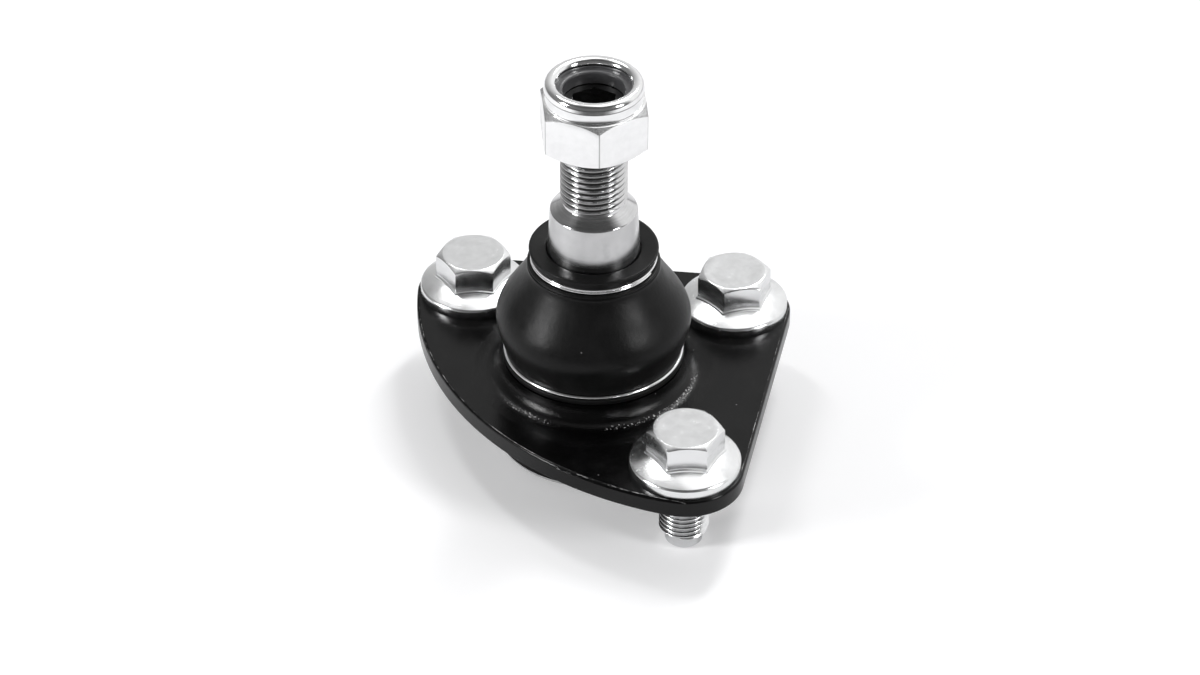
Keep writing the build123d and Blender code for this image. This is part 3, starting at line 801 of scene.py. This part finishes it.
def wireShell(radius, height, wire, turns, pitch, start, steps=128):
    # a round wire bent into a ring, or wound upwards clockwise as seen from above, with its ends closed
    bm = bmesh.new()
    bmesh.ops.create_circle(bm, cap_ends=False, segments=14, radius=wire * mm)
    bmesh.ops.rotate(bm, verts=bm.verts, cent=(0, 0, 0), matrix=Matrix.Rotation(math.pi / 2, 3, "X"))
    bmesh.ops.translate(bm, verts=bm.verts, vec=(radius * mm, 0, height * mm))
    bmesh.ops.rotate(bm, verts=bm.verts, cent=(0, 0, 0), matrix=Matrix.Rotation(math.radians(start), 3, "Z"))
    closed = pitch == 0
    count = round(steps * turns)
    bmesh.ops.spin(bm, geom=bm.verts[:] + bm.edges[:], cent=(0, 0, 0), axis=(0, 0, 1),
                   dvec=(0, 0, pitch * turns * mm / count), angle=-fullTurn * turns, steps=count, use_merge=closed)
    bmesh.ops.remove_doubles(bm, verts=bm.verts, dist=1e-7)
    if not closed:
        ends = [edge for edge in bm.edges if len(edge.link_faces) == 1]
        bmesh.ops.holes_fill(bm, edges=ends, sides=0)
    bmesh.ops.recalc_face_normals(bm, faces=bm.faces)
    return bm


def buildRings(values):
    v = values
    lower = wireShell(v["lowerRadius"], v["lowerHeight"], v["lowerWire"], 1, 0, 0)
    makePiece("lower_ring_piece", [lower], finishes["springWire"], "housing", ["lower_ring"])
    upper = wireShell(v["upperRadius"], v["upperFoot"], v["upperWire"], v["upperTurns"], v["upperPitch"],
                      v["upperStart"])
    makePiece("upper_ring_piece", [upper], finishes["springWire"], "boot_collar", ["upper_ring"])


buildRings(ringValues)
print("rings ready")


# rubber boot
# from the bead's foot up the outside, round the collar and down the inside, as (radius, height) in mm
bootOutline = [
    (19.35, 9.35), (21.6, 9.35), (21.84, 9.5), (21.84, 10.55), (21.72, 10.75), (20.9, 10.76), (20.74, 10.9),
    (20.74, 11.7), (20.86, 11.84), (21.28, 11.86), (21.42, 12.15), (21.78, 13.6), (22.4, 15.75), (23.15, 18.1),
    (23.6, 20.3), (23.32, 22.8), (22.05, 25.5), (20.2, 28.2), (18.15, 31.2), (16.65, 33.8), (16.05, 35.05),
    (15.98, 35.45), (15.97, 35.72), (15.74, 35.86), (15.56, 36.02), (15.8, 36.14), (15.98, 36.4), (15.86, 36.7),
    (15.3, 36.8), (14.6, 36.76), (14.47, 36.95), (14.47, 38.45), (14.6, 38.65), (15.04, 38.64), (15.2, 38.76),
    (15.34, 39.5), (15.53, 40.1), (15.5, 40.42), (15.22, 40.58), (14.6, 40.53), (13.0, 40.38), (11.75, 40.27),
    (11.4, 40.14), (11.27, 39.9), (11.27, 39.2), (11.32, 38.96), (13.3, 38.95), (13.42, 38.8), (13.42, 34.7),
    (13.3, 34.56), (12.5, 34.55), (12.38, 34.4), (12.38, 33.9), (12.55, 33.7), (13.5, 33.0), (15.2, 31.0),
    (17.6, 27.6), (20.1, 24.2), (21.4, 20.6), (21.1, 18.0), (20.5, 15.6), (20.35, 13.5), (20.35, 12.6),
    (20.2, 12.45), (19.35, 12.45),
]
bootSag = {
    "bearing": -126, "halfWidth": 44, "depth": 0.55, "low": 38, "full": 39.0, "top": 40.35, "inner": 14.6,
    "outer": 15.1,
}


def sagCollar(mesh, values):
    # the collar's lower edge hangs over the ring at the front
    v = values
    for vert in mesh.vertices:
        across, height = math.hypot(vert.co.x, vert.co.y) / mm, vert.co.z / mm
        away = (math.degrees(math.atan2(vert.co.y, vert.co.x)) - v["bearing"] + 180) % 360 - 180
        if height < v["low"] or across < v["inner"] or abs(away) > v["halfWidth"]:
            continue
        share = 0.5 + 0.5 * math.cos(math.pi * away / v["halfWidth"])
        share *= min(1, max(0, (v["top"] - height) / (v["top"] - v["full"])))
        share *= min(1, (across - v["inner"]) / (v["outer"] - v["inner"]))
        vert.co.z -= share * v["depth"] * mm


def buildBoot(outline, sag):
    bm = turnedShell(outline, steps=64, closed=True)
    piece = makePiece("dust_boot_piece", [bm], finishes["bootRubber"], None, limit=180)
    smooth = piece.modifiers.new("smooth", "SUBSURF")
    smooth.levels = smooth.render_levels = 2
    applyModifier(piece)
    sagCollar(piece.data, sag)
    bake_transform(piece)
    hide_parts("dust_boot")


buildBoot(bootOutline, bootSag)
print("boot ready")

# CAD nodes that keep their shape
nodeFinishes = {
    "housing": "blackPaint", "end_cap": "blackPaint", "bearing_seat": "seatPlastic", "support_ring": "ringPlastic",
}
for nodeName, finishName in nodeFinishes.items():
    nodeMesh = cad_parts[nodeName].data
    nodeMesh.materials.clear()
    nodeMesh.materials.append(finishes[finishName])
print("frame painted")
